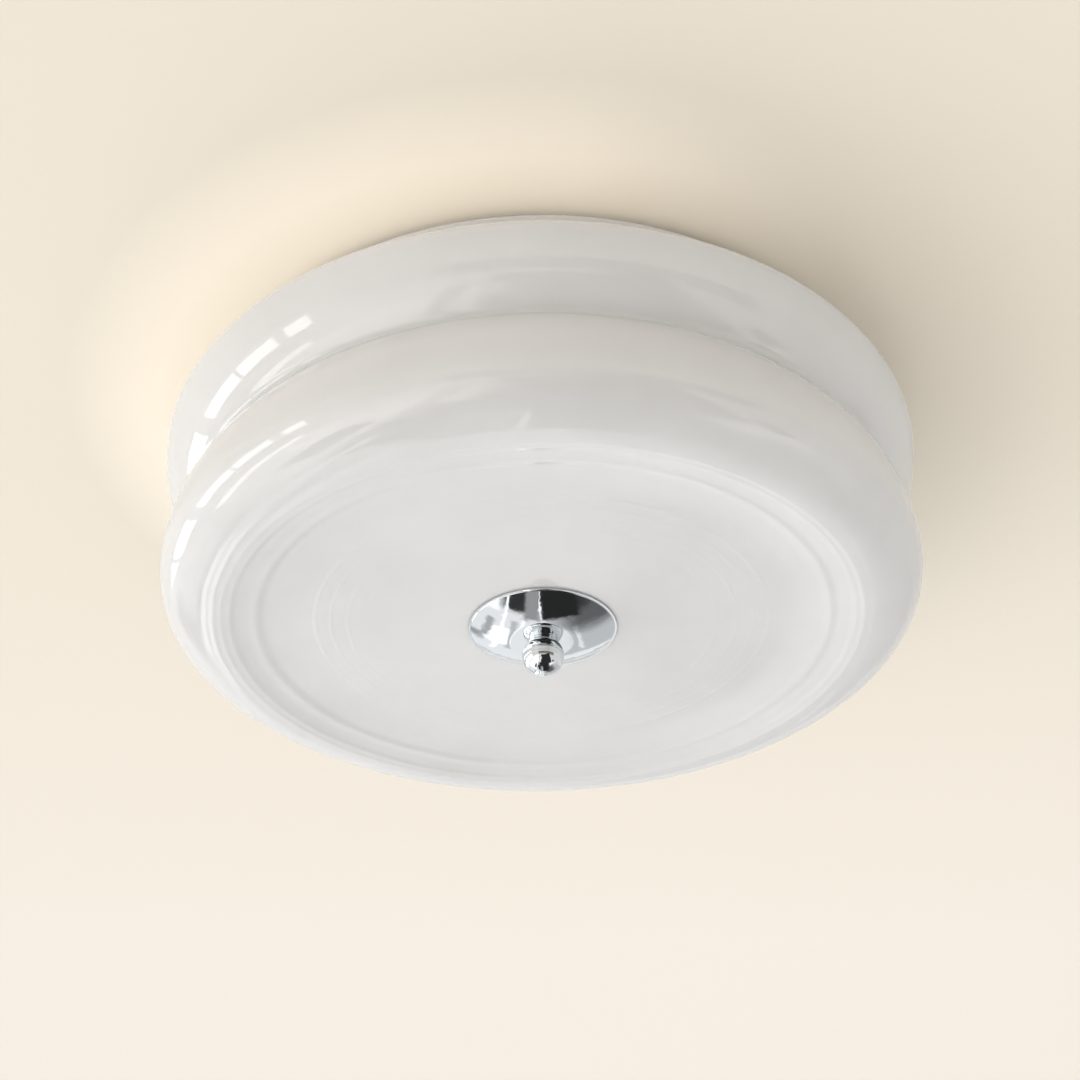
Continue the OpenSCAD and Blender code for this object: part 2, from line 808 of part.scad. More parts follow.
// Outer profile of the glass, from the rim of the neck to the hole in the bottom face
function glass_profile() =
    let (
        lower_r = upper_belly_r - lower_belly_in,
        waist_r = upper_belly_r - waist_in,
        shoulder_r = upper_belly_r - shoulder_in,
        shoulder_top = upper_belly_depth - shoulder_rise,
        upper_in = waist_in / (1 - cos(upper_sweep)),
        upper_down = (waist_depth - upper_belly_depth) / sin(upper_sweep),
        lower_in = (lower_r - waist_r) / (1 - cos(lower_sweep)),
        lower_up = (lower_belly_depth - waist_depth) / sin(lower_sweep),
        crest_r = lower_r - underside_in,
        upper_end = upper_sweep * (1 - waist_blend / (waist_depth - upper_belly_depth)),
        lower_start = lower_sweep * (1 - waist_blend / (lower_belly_depth - waist_depth)),
        upper_belly = arc([upper_belly_r - upper_in, upper_belly_depth], [upper_in, upper_down],
            0, upper_end, 14),
        lower_belly = arc([lower_r - lower_in, lower_belly_depth], [lower_in, lower_up], -lower_start, 0, 12),
        roll = arc([crest_r, glass_depth - rim_roll], [rim_roll, rim_roll], 90, 90 + rim_roll_sweep, 6),
        roll_end = roll[len(roll) - 1],
        slope_r = roll_end[0] - (roll_end[1] - face_depth) / tan(rim_roll_sweep)
    )
        concat(
            [[neck_r, neck_gap]],
            blend([neck_r, shoulder_top - shoulder_corner], [neck_r, shoulder_top],
                [neck_r + shoulder_corner, shoulder_top], 5),
            arc([shoulder_r, upper_belly_depth], [shoulder_in, shoulder_rise], -90, 0, 10),
            [for (i = [1 : len(upper_belly) - 2]) upper_belly[i]],
            blend(upper_belly[len(upper_belly) - 1], [waist_r, waist_depth], lower_belly[0], 6),
            [for (i = [1 : len(lower_belly) - 1]) lower_belly[i]],
            [for (p = arc([crest_r, lower_belly_depth], [underside_in, glass_depth - lower_belly_depth],
                0, 90, 12)) if (p[1] > lower_belly_depth && p[1] < glass_depth) p],
            [for (i = [0 : len(roll) - 2]) roll[i]],
            blend(roll_end, [slope_r, face_depth], [slope_r - rim_blend_w, face_depth], 6),
            [[glass_hole_d / 2, face_depth]]
        );

// Blown opal glass shade, open at the neck and pierced once in its bottom face
module glass_shade() {
    color("oldlace") revolve_shell(glass_profile(), glass_wall);
}

// Outer profile of the dish, from its rim on the glass to the hole for the tube
function dish_profile() =
    let (
        cone_slope = (dish_h - dish_lip) / (dish_r - dish_flat_r - dish_fillet_w / 2),
        cone_end = [dish_flat_r + dish_fillet_w, dish_depth - dish_fillet_w / 2 * cone_slope]
    )
        concat(
            [[dish_r, face_depth + slip_gap], [dish_r, face_depth + dish_lip]],
            blend(cone_end, [dish_flat_r + dish_fillet_w / 2, dish_depth], [dish_flat_r, dish_depth], 5),
            [[tube_r + screw_gap, dish_depth]]
        );

module dish_cover() {
    color("lightsteelblue") revolve_shell(dish_profile(), dish_wall);
}

// Rubber ring of wedge section that seats the dish's rim on the glass
module outer_gasket() {
    cone = inset(dish_profile(), dish_wall);
    outer_r = dish_r - dish_wall - slip_gap;
    slope = (cone[2][1] - cone[1][1]) / (cone[1][0] - cone[2][0]);
    top_at_rim = cone[1][1] - slip_gap;
    color("dimgray") revolve([
        [outer_r - rim_ring_w, face_depth], [outer_r, face_depth],
        [outer_r, top_at_rim], [outer_r - rim_ring_w, top_at_rim + slope * rim_ring_w]
    ]);
}

// Ball finial: short neck on the dish and a blind threaded hole for the tube
module ball_finial() {
    thread_end = dish_depth + ball_thread;
    drill_r = tube_r + thread_gap;
    color("lightsteelblue") difference() {
        union() {
            intersection() {
                down(ball_depth) sphere(d = ball_d);
                disc(ball_d, dish_depth, ball_depth + ball_d);
            }
            disc(ball_neck_d / 2, dish_depth, ball_depth - ball_d / 4);
        }
        revolve([
            [0, dish_depth - 1], [drill_r, dish_depth - 1],
            [drill_r, thread_end], [0, thread_end + drill_r / 2]
        ]);
    }
}

module on_bulb(number) {
    rotate([0, 0, holder_angles[number - 1]]) on_lamp_axis() children();
}

// Hollow opal globe, open where it sits in the bulb's body
module bulb_globe(number) {
    color("white") on_bulb(number) translate([0, 0, globe_centre]) difference() {
        sphere(r = globe_r);
        sphere(r = globe_r - globe_wall);
        translate([-globe_d, -globe_d, -globe_cut - globe_d]) cube([2 * globe_d, 2 * globe_d, globe_d]);
    }
}

// Bulb's plastic body, with its stem inside the screw cap
module bulb_body(number) {
    color("whitesmoke") on_bulb(number) turned([
        [0, bulb_contact_h], [bulb_contact_r, bulb_contact_h], [stem_r - stem_chamfer, cap_start - 0.5],
        [stem_r, cap_start], [stem_r, cap_end], [cap_d / 2 + body_rim, cap_end],
        [globe_cut_r, globe_centre - globe_cut], [0, globe_centre - globe_cut]
    ]);
}

module bulb_cap(number) {
    cap_r = cap_d / 2;
    color("silver") on_bulb(number) turned([
        [stem_r, cap_start], [cap_r - cap_draw, cap_start], [cap_r, cap_start + cap_chamfer],
        [cap_r, cap_end], [stem_r, cap_end]
    ]);
}

module bulb_contact(number) {
    color("silver") on_bulb(number) turned([
        [0, 0], [bulb_contact_r - 1, 0], [bulb_contact_r, bulb_contact_h], [0, bulb_contact_h]
    ]);
}

ceiling_bracket();
bracket_studs();
base_pan();
cap_washers();
cap_nuts();
cable_grommet();
centre_tube();
tube_washers();
tube_nuts();
holder_brackets();
bracket_rivets();
lampholder_bodies();
lampholder_shells();
lampholder_contacts();
lampholder_nipples();
lampholder_nuts();
terminal_block();
terminal_tubes();
terminal_screws();
block_screws();
earth_tag();
earth_screw();
earth_nut();
live_leads();
neutral_leads();
earth_lead();
stop_nut();
stop_washer();
inner_gasket();
glass_shade();
outer_gasket();
dish_cover();
ball_finial();
bulb_globe(1);  // bulb_globe_1
bulb_body(1);  // bulb_body_1
bulb_cap(1);  // bulb_cap_1
bulb_contact(1);  // bulb_contact_1
bulb_globe(2);  // bulb_globe_2
bulb_body(2);  // bulb_body_2
bulb_cap(2);  // bulb_cap_2
bulb_contact(2);  // bulb_contact_2
bulb_globe(3);  // bulb_globe_3
bulb_body(3);  // bulb_body_3
bulb_cap(3);  // bulb_cap_3
bulb_contact(3);  // bulb_contact_3
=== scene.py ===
# Looks of the flush ceiling light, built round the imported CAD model. Metres, +Z up into the ceiling.
import json

import bmesh
import bpy
import numpy as np
from mathutils import Matrix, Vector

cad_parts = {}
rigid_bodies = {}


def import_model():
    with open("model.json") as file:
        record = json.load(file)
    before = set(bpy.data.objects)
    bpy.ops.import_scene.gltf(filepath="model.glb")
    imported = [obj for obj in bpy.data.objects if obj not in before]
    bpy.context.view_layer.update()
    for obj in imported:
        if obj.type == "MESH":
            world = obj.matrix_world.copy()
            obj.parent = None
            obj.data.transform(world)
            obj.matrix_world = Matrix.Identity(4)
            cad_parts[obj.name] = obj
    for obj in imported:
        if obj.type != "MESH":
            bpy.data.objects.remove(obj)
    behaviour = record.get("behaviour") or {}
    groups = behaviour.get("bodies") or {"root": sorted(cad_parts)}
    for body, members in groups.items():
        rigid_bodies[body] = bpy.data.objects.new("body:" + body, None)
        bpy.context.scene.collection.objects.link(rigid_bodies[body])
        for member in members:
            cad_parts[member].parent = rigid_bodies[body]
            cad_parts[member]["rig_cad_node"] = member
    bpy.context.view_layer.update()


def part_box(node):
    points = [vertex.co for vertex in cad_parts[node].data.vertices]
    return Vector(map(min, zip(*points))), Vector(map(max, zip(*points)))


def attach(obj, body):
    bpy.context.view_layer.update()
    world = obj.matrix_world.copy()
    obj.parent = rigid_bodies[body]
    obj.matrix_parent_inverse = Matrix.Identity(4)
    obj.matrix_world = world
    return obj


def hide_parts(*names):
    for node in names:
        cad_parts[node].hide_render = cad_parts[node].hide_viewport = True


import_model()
scene = bpy.context.scene
scene.view_settings.view_transform = "Standard"

# Camera: it stands in front of the light and well below it, and looks up at the ceiling.
# Place, lens and tilt were fitted to the outline of the glass in the photograph, which is
# 1080 pixels wide and high.
picture_px = 1080
lens_px = 1850
sensor_mm = 36
camera_distance = 0.99584
view_rise = np.radians(33.68)
view_roll = np.radians(0.94)
aim = np.array([0, 0, -0.090])
aim_right_of_middle_px = 1.2
aim_below_middle_px = 24.27


def turned_pair(first, second, angle):
    """Turns two square unit vectors in their plane: first goes to first cos - second sin, second to
    second cos + first sin."""
    cos, sin = np.cos(angle), np.sin(angle)
    return first * cos - second * sin, second * cos + first * sin


ahead = np.array([0, np.cos(view_rise), np.sin(view_rise)])
right = np.array([1.0, 0, 0])
down = np.array([0, np.sin(view_rise), -np.cos(view_rise)])
place = aim - camera_distance * ahead
ahead, right = turned_pair(ahead, right, np.arctan(aim_right_of_middle_px / lens_px))
ahead, down = turned_pair(ahead, down, np.arctan(aim_below_middle_px / lens_px))
down, right = turned_pair(down, right, view_roll)
camera_data = bpy.data.cameras.new("camera")
camera_data.sensor_width = sensor_mm
camera_data.lens = sensor_mm * lens_px / picture_px
camera = bpy.data.objects.new("camera", camera_data)
camera.matrix_world = Matrix(np.vstack([np.column_stack([right, -down, -ahead, place]), [0, 0, 0, 1]]))
scene.collection.objects.link(camera)
scene.camera = camera

# Ceiling: smooth cream plaster, painted, which is not part of the light. It is open over the pan,
# where the pan's flange hides the edge, and it can't be seen from above, so that the light's upper
# side shows in the views from there.
ceiling_radius = 6.0
ceiling_hole_radius = 0.165
ceiling_lift = 0.0003
ceiling_rings = 24
ceiling_around = 96
# Painted light and shade: the plaster's colour is a darker tone on the near side and a lighter one on the far
# side, spread over the Y range below, for the light that falls more on the far side.
plaster_near_painted_shade = (0.845, 0.772, 0.658)
plaster_far_painted_light = (0.897, 0.828, 0.745)
plaster_thrown = (0.84, 0.805, 0.75)
painted_light_range = [-0.45, 0.75]
plaster_roughness = 0.75
plaster_grain = 90
plaster_relief = 0.00004
through_light = 0.16
through_tone = (1.0, 0.88, 0.70)
through_radii = [0.212, 0.262]
through_across = [0.02, 0.15]
sharp_angle = np.radians(32)
same_point = 1e-7


def surface(name, grids, wrap_rows=False, wrap_columns=False):
    """One mesh of several grids of points: each quad joins rows i and i + 1 and columns k and k + 1, and
    the last row or column joins the first where it wraps. Points that meet at a pole are merged. The
    corners are turned so that the volume inside, the sum of a . (b x c) over them, comes out positive."""
    points, faces, count = [], [], 0
    for grid in grids:
        rows, columns = grid.shape[:2]
        index = np.arange(rows * columns).reshape(rows, columns)
        if wrap_rows:
            index = np.vstack([index, index[:1]])
        if wrap_columns:
            index = np.hstack([index, index[:, :1]])
        corners = np.stack([index[:-1, :-1], index[1:, :-1], index[1:, 1:], index[:-1, 1:]], -1)
        corners = corners.reshape(-1, 4)
        flat = grid.reshape(-1, 3)
        a, b, c, d = (flat[corners[:, k]] for k in range(4))
        if np.sum(a * np.cross(b, c)) + np.sum(a * np.cross(c, d)) < 0:
            corners = corners[:, ::-1]
        points.append(flat)
        faces.append(corners + count)
        count += rows * columns
    mesh = bpy.data.meshes.new(name)
    mesh.from_pydata(np.vstack(points).tolist(), [], np.vstack(faces).tolist())
    merged = bmesh.new()
    merged.from_mesh(mesh)
    bmesh.ops.remove_doubles(merged, verts=merged.verts, dist=same_point)
    merged.to_mesh(mesh)
    merged.free()
    mesh.shade_smooth()
    mesh.set_sharp_from_angle(angle=sharp_angle)
    piece = bpy.data.objects.new(name, mesh)
    scene.collection.objects.link(piece)
    return piece


def revolved(profile, around):
    """Grid of a profile carried round the Z axis: (radius, height) goes to (radius cos a, radius sin a,
    height) for evenly spaced angles a."""
    angle = np.linspace(0, 2 * np.pi, around, endpoint=False)
    radius, height = profile[:, :1], profile[:, 1:]
    return np.stack([radius * np.cos(angle), radius * np.sin(angle), height + 0 * angle], -1)


def finish(name, colour, roughness, metallic=0.0):
    """A new material with a Principled shader whose constants stand on its own sockets."""
    material = bpy.data.materials.new(name)
    material.use_nodes = True
    shader = material.node_tree.nodes["Principled BSDF"]
    shader.inputs["Base Color"].default_value = (*colour, 1)
    shader.inputs["Roughness"].default_value = roughness
    shader.inputs["Metallic"].default_value = metallic
    return material, shader


def noise(material, scale, detail):
    """Noise between 0 and 1 on Object coordinates, with scale waves a metre and detail finer layers."""
    nodes = material.node_tree.nodes
    place, texture = nodes.new("ShaderNodeTexCoord"), nodes.new("ShaderNodeTexNoise")
    texture.inputs["Scale"].default_value = scale
    texture.inputs["Detail"].default_value = detail
    material.node_tree.links.new(place.outputs["Object"], texture.inputs["Vector"])
    return texture.outputs["Fac"]


def off_axis(material):
    """Distance from the Z axis, on Object coordinates."""
    nodes, links = material.node_tree.nodes, material.node_tree.links
    place = nodes.new("ShaderNodeTexCoord")
    level, reach = nodes.new("ShaderNodeVectorMath"), nodes.new("ShaderNodeVectorMath")
    level.operation = "MULTIPLY"
    level.inputs[1].default_value = (1, 1, 0)
    reach.operation = "LENGTH"
    links.new(place.outputs["Object"], level.inputs[0])
    links.new(level.outputs[0], reach.inputs[0])
    return reach.outputs["Value"]


def between(material, fac, low, high, socket, start=0.35, end=0.65):
    """Drives a number socket from low to high while fac goes from start to end."""
    nodes, links = material.node_tree.nodes, material.node_tree.links
    spread = nodes.new("ShaderNodeMapRange")
    spread.inputs["From Min"].default_value = start
    spread.inputs["From Max"].default_value = end
    spread.inputs["To Min"].default_value = low
    spread.inputs["To Max"].default_value = high
    links.new(fac, spread.inputs["Value"])
    links.new(spread.outputs["Result"], socket)


def tinted(material, shader, fac, dark, light, start=0.35, end=0.65):
    """Base colour that goes from dark to light while fac goes from start to end."""
    nodes, links = material.node_tree.nodes, material.node_tree.links
    ramp = nodes.new("ShaderNodeValToRGB")
    ramp.color_ramp.elements[0].position = start
    ramp.color_ramp.elements[1].position = end
    ramp.color_ramp.elements[0].color = (*dark, 1)
    ramp.color_ramp.elements[1].color = (*light, 1)
    links.new(fac, ramp.inputs["Fac"])
    links.new(ramp.outputs["Color"], shader.inputs["Base Color"])


def relief(material, shader, fac, height):
    """Bump whose highest point stands height metres above its lowest."""
    nodes, links = material.node_tree.nodes, material.node_tree.links
    bump = nodes.new("ShaderNodeBump")
    bump.inputs["Strength"].default_value = 1
    bump.inputs["Distance"].default_value = height
    links.new(fac, bump.inputs["Height"])
    links.new(bump.outputs["Normal"], shader.inputs["Normal"])


def plaster():
    """Cream paint with painted light and shade: it is lighter towards the far side, painted light, and darker
    towards the near side, painted shade, with a faint uneven relief, and see-through from above. Only the
    camera sees the cream: the light that it throws back is nearly white. A glow of painted light stands for
    the daylight that comes through the glass: through_light close to it, fading to 0 outwards over
    through_radii and towards the right over through_across."""
    material, shader = finish("plaster", plaster_far_painted_light, plaster_roughness)
    nodes, links = material.node_tree.nodes, material.node_tree.links
    place, split = nodes.new("ShaderNodeTexCoord"), nodes.new("ShaderNodeSeparateXYZ")
    links.new(place.outputs["Object"], split.inputs["Vector"])
    # Painted light and shade: the cream goes from the darker near tone to the lighter far tone along Y.
    tinted(material, shader, split.outputs["Y"], plaster_near_painted_shade, plaster_far_painted_light, *painted_light_range)
    cream = shader.inputs["Base Color"].links[0].from_socket
    rays, seen = nodes.new("ShaderNodeLightPath"), nodes.new("ShaderNodeMix")
    seen.data_type = "RGBA"
    seen.inputs[6].default_value = (*plaster_thrown, 1)
    links.new(rays.outputs["Is Camera Ray"], seen.inputs["Factor"])
    links.new(cream, seen.inputs[7])
    links.new(seen.outputs[2], shader.inputs["Base Color"])
    shader.inputs["Emission Color"].default_value = (*through_tone, 1)
    glow = shader.inputs["Emission Strength"]
    between(material, off_axis(material), through_light, 0, glow, *through_radii)
    nearest = glow.links[0].from_node.inputs["To Min"]
    between(material, split.outputs["X"], through_light, 0, nearest, *through_across)
    relief(material, shader, noise(material, plaster_grain, 4), plaster_relief)
    side, clear = nodes.new("ShaderNodeNewGeometry"), nodes.new("ShaderNodeBsdfTransparent")
    mix = nodes.new("ShaderNodeMixShader")
    links.new(side.outputs["Backfacing"], mix.inputs["Fac"])
    links.new(shader.outputs["BSDF"], mix.inputs[1])
    links.new(clear.outputs["BSDF"], mix.inputs[2])
    links.new(mix.outputs["Shader"], nodes["Material Output"].inputs["Surface"])
    return material


ceiling_radii = np.geomspace(ceiling_hole_radius, ceiling_radius, ceiling_rings)
ceiling_profile = np.column_stack([ceiling_radii, ceiling_radii * 0 + ceiling_lift])
ceiling = surface("ceiling", [revolved(ceiling_profile, ceiling_around)], wrap_columns=True)
ceiling.data.flip_normals()
ceiling.data.materials.append(plaster())

# Room: daylight from windows on the left and the far side, a darker room on the right, as the chrome
# and the glass in the photograph mirror them. All angles are in degrees, and room_world says what
# each list holds.
seen_backdrop = (0.90, 0.85, 0.78)
far_light = (0.985, 1.0, 1.015)
near_light = (1.0, 0.975, 0.93)
step_edge = 3
light_rows = [
    ("above the ceiling", (4, 100), 2, [(180, 0.95)]),
    ("top of the walls", (-15, 3), 6, [(-155, 0.24), (-118, 0.80), (-68, 1.25), (-30, 0.88), (30, 1.00),
                                       (75, 0.85), (120, 0.78), (155, 0.24), (180, 0.24)]),
    ("walls", (-34, -15), 6, [(-155, 0.96), (-118, 1.30), (-68, 1.15), (-30, 0.95), (30, 1.25), (75, 0.65),
                              (120, 0.80), (155, 0.82), (180, 0.96)]),
    ("floor", (-62, -34), 5, [(-145, 1.42), (-90, 1.85), (-30, 1.40), (30, 1.40), (90, 0.70), (145, 1.15),
                              (180, 1.42)]),
    ("below", (-100, -62), 5, [(-90, 0.40), (0, 0.52), (90, 0.20), (180, 0.40)]),
]
window_parts = [
    ("narrow window", (-116, -108), (-15, -3), 0.8, 3.0),
    ("wide window", (-104, -72), (-15, -3), 0.8, 3.0),
    ("bar of the wide window", (-89, -87.6), (-15, -3), 0.5, -3.0),
    ("next window", (-66, -37), (-16, -2), 0.8, 4.5),
    ("bar of the next window", (-53, -51.6), (-16, -2), 0.5, -4.5),
    ("low panes", (-108, -66), (-34, -29), 1.0, 2.2),
]
mirrored_parts = [
    ("pale far wall", (-62, 2), (24, 96), 6, 0.98),
    ("dimmer far right wall", (2, 62), (24, 80), 6, 0.62),
    ("low sunny strip", (-31, -15), (45, 63), 8, 2.2),
    ("curtain fold", (-24, -21.5), (28, 76), 1.5, 1.35),
    ("curtain fold shade", (-33, -28), (34, 60), 3, 0.50),
    ("next fold shade", (-18, -14), (32, 70), 3, 0.62),
    ("next fold", (-12, -10), (30, 60), 1.5, 1.35),
    ("grey sill", (-52, -30), (58, 68), 7, 0.42),
    ("far right curtain", (17, 19.5), (40, 74), 1.5, 0.95),
    ("shade on the right", (12, 46), (4, 46), 20, 0.14),
    ("dark floor", (-26, 30), (-26, 22), 10, 0.05),
    ("dark end of the room", (-14, 46), (-70, -14), 8, 0.03),
    ("black table", (-1.5, 23), (-20, 29), 4, 0.025),
    ("grey rug", (-11.5, -1.5), (-4, 30), 4, 0.36),
    ("black stool", (-19.5, -12), (4, 20), 3.5, 0.04),
    ("pale edge", (-23.2, -21.4), (8, 30), 1, 1.40),
    ("bright seam", (-2.0, -1.1), (1, 29), 0.5, 1.30),
    ("dark chest", (-40, -31), (-14, 12), 3, 0.10),
    ("pale chair", (-26, -20), (-58, -8), 4, 0.60),
    ("bright chair back", (-12, -8), (-58, -44), 3, 0.90),
    ("dark frame", (49, 58), (-22, -9), 4, 0.08),
]


def within(tree, value, low, high, soft):
    """1 where value lies well between low and high, 1/2 on either limit, falling smoothly to 0 over the
    soft width."""
    offset, distance, edge = (tree.nodes.new("ShaderNode" + kind) for kind in ("Math", "Math", "MapRange"))
    offset.operation = "SUBTRACT"
    offset.inputs[1].default_value = (low + high) / 2
    distance.operation = "ABSOLUTE"
    edge.interpolation_type = "SMOOTHSTEP"
    edge.inputs["From Min"].default_value = (high - low - soft) / 2
    edge.inputs["From Max"].default_value = (high - low + soft) / 2
    edge.inputs["To Min"].default_value = 1
    edge.inputs["To Max"].default_value = 0
    tree.links.new(value, offset.inputs[0])
    tree.links.new(offset.outputs[0], distance.inputs[0])
    tree.links.new(distance.outputs[0], edge.inputs["Value"])
    return edge.outputs["Result"]


def worked(tree, operation, *values):
    """A Math node whose inputs are sockets or numbers."""
    node = tree.nodes.new("ShaderNodeMath")
    node.operation = operation
    for socket, value in zip(node.inputs, values):
        if isinstance(value, bpy.types.NodeSocket):
            tree.links.new(value, socket)
        else:
            socket.default_value = value
    return node.outputs[0]


def stepped(tree, turn, steps):
    """Radiance that keeps each step's value up to its azimuth and goes to the next value within step_edge
    degrees on either side, by a ramp over the whole turn."""
    ramp = tree.nodes.new("ShaderNodeValToRGB")
    stops = [(-180, steps[0][1])]
    for (end, radiance), (_, following) in zip(steps[:-1], steps[1:]):
        stops += [(end - step_edge, radiance), (end + step_edge, following)]
    elements = ramp.color_ramp.elements
    elements.remove(elements[1])
    for number, (azimuth, radiance) in enumerate(stops):
        element = elements.new((azimuth + 180) / 360) if number else elements[0]
        element.position = (azimuth + 180) / 360
        element.color = (radiance, radiance, radiance, 1)
    tree.links.new(turn, ramp.inputs["Fac"])
    return ramp.outputs["Color"]


def room_world():
    """World whose radiance is the sum of the rows and the windows. A row has its elevations, the width of
    its soft edge and steps of (azimuth where the step ends, radiance): the azimuth goes from the near
    side by the left, the far side (0) and the right to the near side again. A window has azimuths,
    elevations, soft edge and radiance. For mirrored rays each mirrored part lies over the sum: where the
    part's share is m, the sum goes to sum (1 - m) + radiance m. Such a part has its angles from straight
    down towards the right and towards the far side. The camera sees a plain backdrop instead."""
    world = bpy.data.worlds.new("room")
    world.use_nodes = True
    tree = world.node_tree
    nodes, links = tree.nodes, tree.links
    place, split = nodes.new("ShaderNodeTexCoord"), nodes.new("ShaderNodeSeparateXYZ")
    tint, rays = nodes.new("ShaderNodeMix"), nodes.new("ShaderNodeLightPath")
    links.new(place.outputs["Generated"], split.inputs["Vector"])
    azimuth = worked(tree, "ARCTAN2", split.outputs["X"], split.outputs["Y"])
    turn = worked(tree, "MULTIPLY_ADD", azimuth, 1 / (2 * np.pi), 0.5)
    elevation = worked(tree, "ARCSINE", split.outputs["Z"])
    from_nadir = worked(tree, "ADD", elevation, np.pi / 2)
    rightwards = worked(tree, "MULTIPLY", from_nadir, worked(tree, "SINE", azimuth))
    farwards = worked(tree, "MULTIPLY", from_nadir, worked(tree, "COSINE", azimuth))
    light = 0.0
    for _, height, soft, steps in light_rows:
        row = within(tree, elevation, *np.radians(height), np.radians(soft))
        light = worked(tree, "MULTIPLY_ADD", stepped(tree, turn, steps), row, light)
    for _, across, height, soft, radiance in window_parts:
        across, height, soft = np.radians(across), np.radians(height), np.radians(soft)
        share = worked(tree, "MULTIPLY", within(tree, azimuth, *across, soft),
                       within(tree, elevation, *height, soft))
        light = worked(tree, "MULTIPLY_ADD", share, radiance, light)
    mirrored = light
    for _, across, away, soft, radiance in mirrored_parts:
        across, away, soft = np.radians(across), np.radians(away), np.radians(soft)
        share = worked(tree, "MULTIPLY", within(tree, rightwards, *across, soft),
                       within(tree, farwards, *away, soft))
        step = worked(tree, "SUBTRACT", radiance, mirrored)
        mirrored = worked(tree, "MULTIPLY_ADD", share, step, mirrored)
    tint.data_type = "RGBA"
    tint.inputs[6].default_value = (*near_light, 1)
    tint.inputs[7].default_value = (*far_light, 1)
    links.new(worked(tree, "MULTIPLY_ADD", split.outputs["Y"], 0.5, 0.5), tint.inputs["Factor"])
    shown = []
    for strength in (light, mirrored, 1.0):
        background = nodes.new("ShaderNodeBackground")
        if strength == 1.0:
            background.inputs["Color"].default_value = (*seen_backdrop, 1)
        else:
            links.new(tint.outputs[2], background.inputs["Color"])
            links.new(strength, background.inputs["Strength"])
        shown.append(background.outputs[0])
    result = shown[0]
    for kind, other in (("Is Glossy Ray", shown[1]), ("Is Camera Ray", shown[2])):
        mix = nodes.new("ShaderNodeMixShader")
        links.new(rays.outputs[kind], mix.inputs["Fac"])
        links.new(result, mix.inputs[1])
        links.new(other, mix.inputs[2])
        result = mix.outputs[0]
    links.new(result, nodes["World Output"].inputs["Surface"])
    return world


scene.world = room_world()

# Ceiling bracket: a strap of zinc-plated steel, punched with two screw slots, its ends stepped down to
# the pan's plate. A stud is pressed through each end, head upwards.
zinc_tone = (0.62, 0.63, 0.64)
edge_angle = np.radians(35)
cad_objects = {piece["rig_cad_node"]: piece for piece in bpy.data.objects if "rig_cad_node" in piece}


def grained(name, colour, roughness, metallic, grain, tone, haze, height=0.000006):
    """Material whose colour drifts by the share tone of itself and whose roughness drifts by haze, both
    with noise, over a relief of the given height."""
    material, shader = finish(name, colour, roughness, metallic)
    drift = noise(material, grain, 4)
    shares = (1 - tone, min(1 + tone, 1 / max(colour)))
    dark, light = (tuple(share * part for part in colour) for share in shares)
    tinted(material, shader, drift, dark, light)
    between(material, noise(material, grain * 4, 3), roughness - haze, roughness + haze,
            shader.inputs["Roughness"])
    relief(material, shader, noise(material, grain * 12, 2), height)
    return material


def dress(material, *names, edge=0.0):
    """Gives CAD nodes a finish, and rounds their sharp edges where an edge width is given."""
    for name in names:
        piece = cad_objects[name]
        for slot in piece.material_slots:
            slot.material = material
        if edge:
            bevel = piece.modifiers.new("edge", "BEVEL")
            bevel.width = edge
            bevel.segments = 2
            bevel.limit_method = "ANGLE"
            bevel.angle_limit = edge_angle


zinc = grained("zinc_steel", zinc_tone, 0.34, 1, 45, 0.08, 0.08)
dress(zinc, "ceiling_bracket", edge=0.0003)
dress(zinc, "bracket_studs", edge=0.0002)

# Base pan: pressed steel with a flange on the ceiling and a stiffening bead, powder-coated white.
# A grommet of black rubber is pushed into its cable hole.
enamel_tone = (0.87, 0.87, 0.85)
rubber_tone = (0.045, 0.045, 0.045)
dress(grained("white_enamel", enamel_tone, 0.38, 0, 12, 0.02, 0.05, 0.00003), "base_pan")
dress(grained("black_rubber", rubber_tone, 0.7, 0, 90, 0.25, 0.1), "cable_grommet", edge=0.0004)

# Cap nuts and washers: zinc-plated steel, turned and cut from hexagon bar. The nuts hang the pan on
# the bracket's studs, over plain washers.
stud_x = 0.070
cap_nut_radius = 0.0035
cap_bore_radius = 0.00208
cap_top = 0.0222
cap_hex_bottom = 0.0262
cap_dome = np.array([0.00335, 0.004])
cap_bore_bottom = 0.0279
nut_around = 96
nut_face_share = 0.96
nut_cone_share = 0.22
nut_cone_angle = np.radians(30)


def arc(centre, size, start, end, steps):
    """Elliptic arc as (radius, depth): centre + size * (cos a, sin a) for a from start to end degrees,
    where 0 points outwards and 90 downwards."""
    a = np.radians(np.linspace(start, end, steps))
    return np.array(centre) + np.array(size) * np.column_stack([np.cos(a), np.sin(a)])


def blend(a, b, c, steps):
    """Parabola that leaves a towards b and arrives at c."""
    t = np.linspace(0, 1, steps)[:, None]
    return (1 - t) ** 2 * np.array(a) + 2 * t * (1 - t) * np.array(b) + t ** 2 * np.array(c)


def straight(a, b, steps):
    """Evenly spaced points from a to b, both left out."""
    return np.array(a) + np.linspace(0, 1, steps + 2)[1:-1, None] * (np.array(b) - np.array(a))


def hexagon(profile, half_flats):
    """Grid of a profile of radius and depth carried round the Z axis, its radius cut to the hexagon whose
    corners lie at 0, 60, 120 ... degrees: half_flats / cos(angle from the middle of its side)."""
    angle = np.linspace(0, 2 * np.pi, nut_around, endpoint=False)
    from_middle = np.mod(angle, np.pi / 3) - np.pi / 6
    radius = np.minimum(profile[:, :1], half_flats / np.cos(from_middle))
    return np.stack([radius * np.cos(angle), radius * np.sin(angle), -profile[:, 1:] + 0 * angle], -1)


